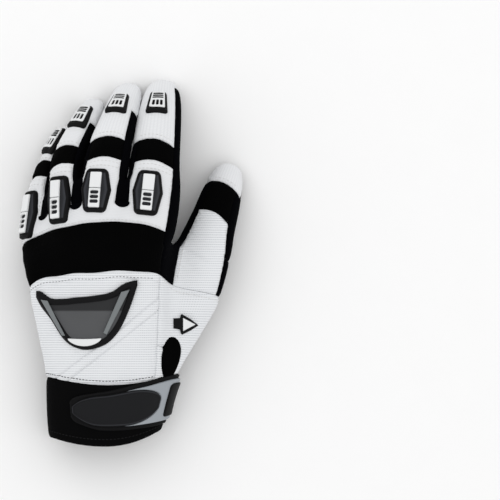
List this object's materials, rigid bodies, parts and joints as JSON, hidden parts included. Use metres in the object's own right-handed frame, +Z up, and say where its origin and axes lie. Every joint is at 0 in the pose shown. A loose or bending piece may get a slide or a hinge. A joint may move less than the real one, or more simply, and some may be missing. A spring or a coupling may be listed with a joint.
{
  "type": "motorcycle glove",
  "caption": "Left-hand riding glove with armoured knuckles, fingertip and back guards and a wrist strap, lying palm down.",
  "frame": {"origin": "on the floor, under the middle of the glove's box", "axes": "+Y to the fingertips, +X to the thumb, +Z up out of the back of the hand"},
  "size_m": [0.1416, 0.2304, 0.0694],
  "materials": {
    "neoprene": "matt black neoprene",
    "suede": "matt black synthetic suede",
    "elastic": "matt black elastic cloth",
    "mesh": "white ribbed mesh",
    "leather": "smooth white synthetic leather",
    "black_rubber": "moulded black rubber, semi-gloss",
    "grey_rubber": "moulded grey rubber",
    "light_grey_rubber": "moulded light grey rubber",
    "white_rubber": "moulded white rubber, satin"
  },
  "bodies": {
    "root": {"back_guard": "black_rubber", "back_guard_inlay_base": "white_rubber", "back_guard_inlay_left": "grey_rubber", "back_guard_inlay_right": "grey_rubber", "back_panel": "mesh", "cuff": "neoprene", "finger_stretch_index": "elastic", "finger_stretch_little": "elastic", "finger_stretch_middle": "elastic", "finger_stretch_ring": "elastic", "finger_underside_index": "suede", "finger_underside_little": "suede", "finger_underside_middle": "suede", "finger_underside_ring": "suede", "fingertip_guard_index": "black_rubber", "fingertip_guard_little": "black_rubber", "fingertip_guard_middle": "black_rubber", "fingertip_guard_ring": "black_rubber", "fingertip_inlay_index": "white_rubber", "fingertip_inlay_little": "white_rubber", "fingertip_inlay_middle": "white_rubber", "fingertip_inlay_ring": "white_rubber", "fingertip_panel_index": "leather", "fingertip_panel_little": "leather", "fingertip_panel_middle": "leather", "fingertip_panel_ring": "leather", "fourchette_index_middle": "elastic", "fourchette_middle_ring": "elastic", "fourchette_ring_little": "elastic", "index_side_strip": "suede", "knuckle_guard_index": "black_rubber", "knuckle_guard_little": "black_rubber", "knuckle_guard_middle": "black_rubber", "knuckle_guard_ring": "black_rubber", "knuckle_inlay_index": "white_rubber", "knuckle_inlay_little": "white_rubber", "knuckle_inlay_middle": "white_rubber", "knuckle_inlay_ring": "white_rubber", "knuckle_panel": "leather", "knuckle_stretch_panel": "elastic", "palm": "suede", "palm_heel": "suede", "pull_tab": "black_rubber", "pull_tab_inlay": "white_rubber", "strap": "elastic", "strap_inset": "black_rubber", "strap_shield": "black_rubber", "strap_wing": "light_grey_rubber", "thumb_base_panel": "mesh", "thumb_panel": "mesh", "thumb_stretch_panel": "elastic", "thumb_tip_panel": "leather", "thumb_underside": "suede", "wrist_gusset": "elastic"}
  },
  "joints": []
}
